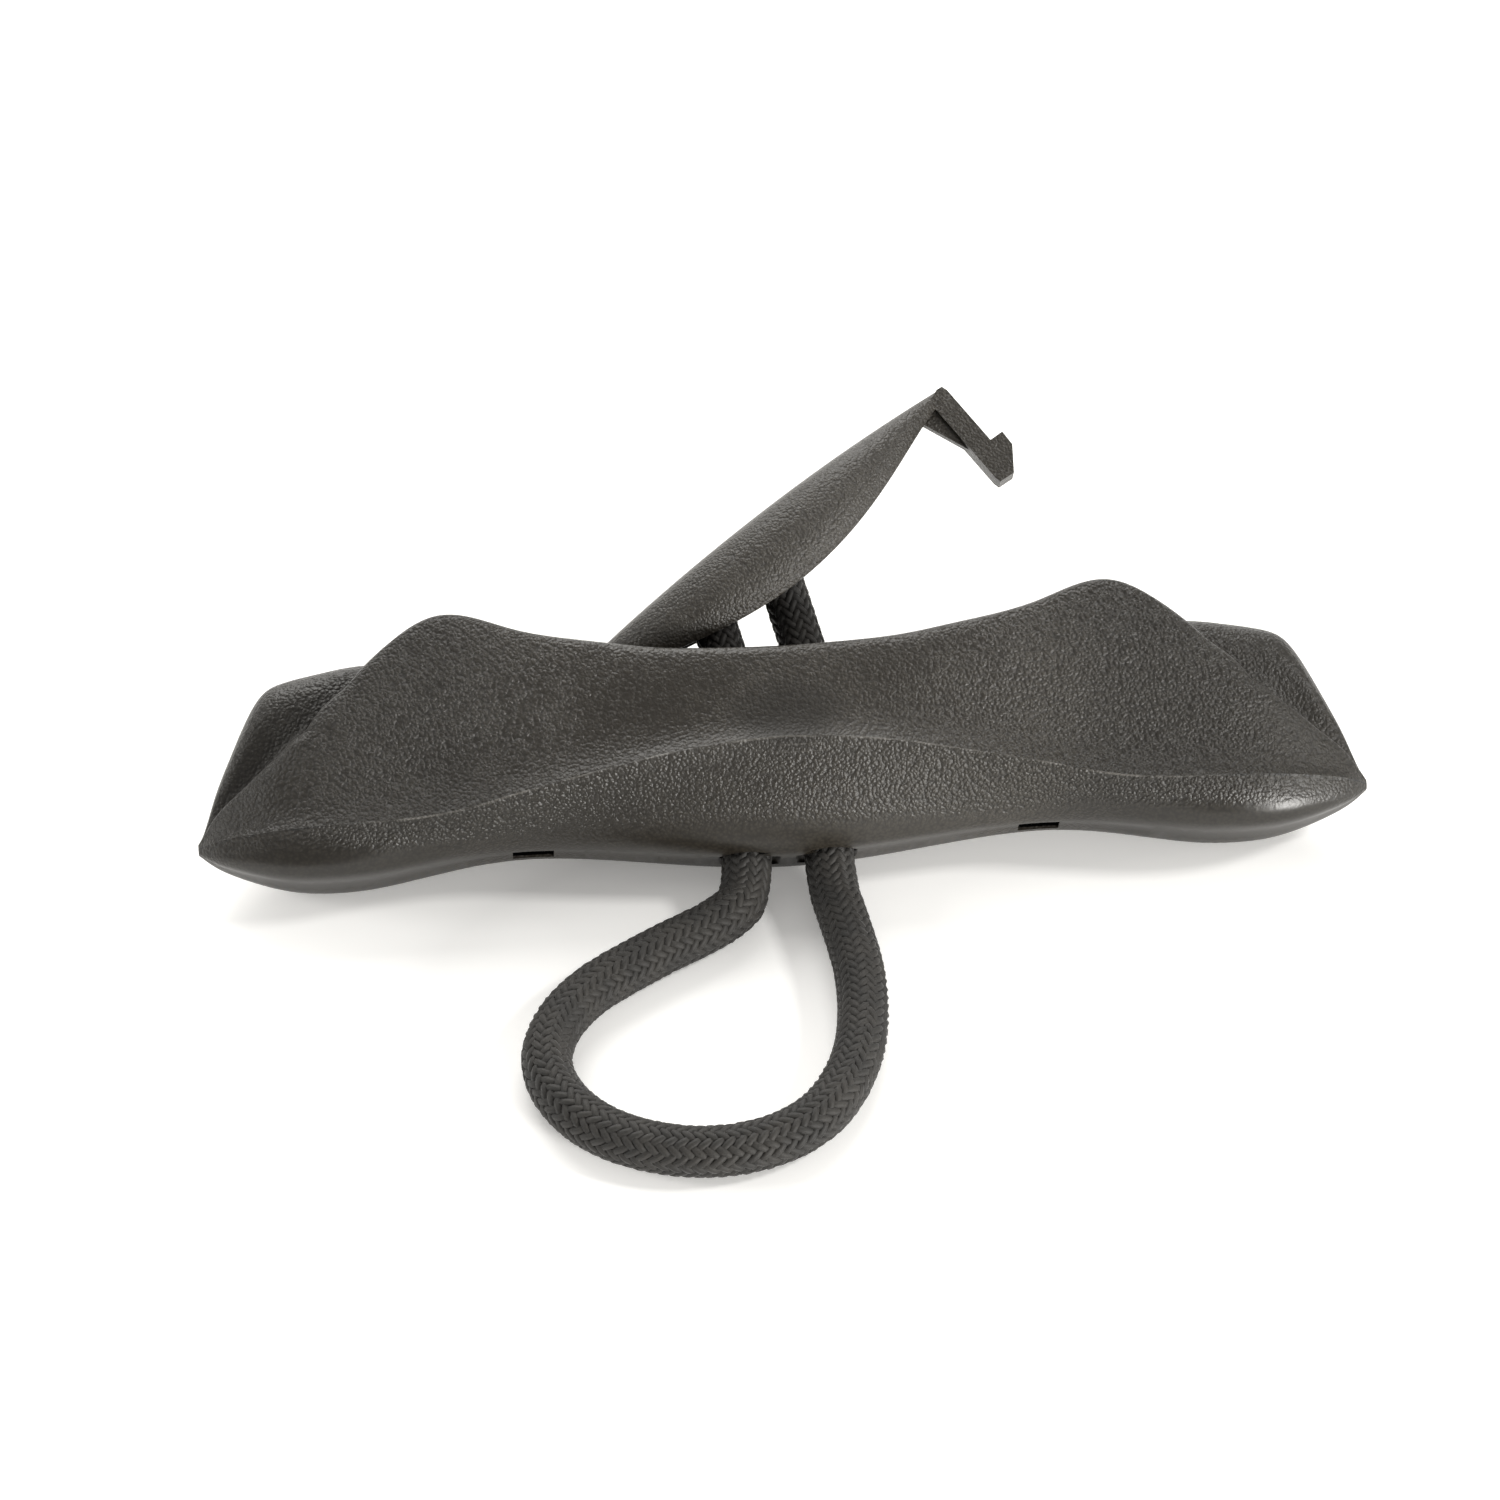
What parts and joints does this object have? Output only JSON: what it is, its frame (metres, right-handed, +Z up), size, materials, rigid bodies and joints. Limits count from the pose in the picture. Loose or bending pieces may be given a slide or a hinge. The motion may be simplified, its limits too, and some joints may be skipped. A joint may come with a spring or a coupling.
{
  "type": "toggle carry handle",
  "caption": "Contoured moulded carry handle with a rope loop, stopper knots in a hollow and an oval cover that clips over them.",
  "frame": {"origin": "bottom centre of the grip and open cover's bounding box, on the surface the handle lies on; the rope is left out of that box", "axes": "+X along the grip towards the cover's free end, +Y towards the palm side and away from the rope loop, +Z up from the surface"},
  "size_m": [0.16, 0.1116, 0.0398],
  "materials": {
    "grip_plastic": "black moulded plastic with a spark-eroded grain",
    "cover_plastic": "black moulded plastic with a spark-eroded grain",
    "rope_fibre": "black braided synthetic rope"
  },
  "bodies": {
    "handle": {"grip_body": "grip_plastic", "rope_loop": "rope_fibre", "rope_knot_left": "rope_fibre", "rope_knot_right": "rope_fibre", "rope_tail_left": "rope_fibre", "rope_tail_right": "rope_fibre"},
    "cover": {"cover": "cover_plastic", "cover_hook": "cover_plastic"}
  },
  "joints": [
    {"name": "cover_hinge", "type": "hinge", "parent": "handle", "child": "cover", "pos_m": [-0.0319, 0.0002, 0.02163], "axis": [0, -0.5, 0.866], "range_deg": [-36, 0], "deforming": ["rope_tail_left", "rope_tail_right", "cover_hook"]}
  ]
}
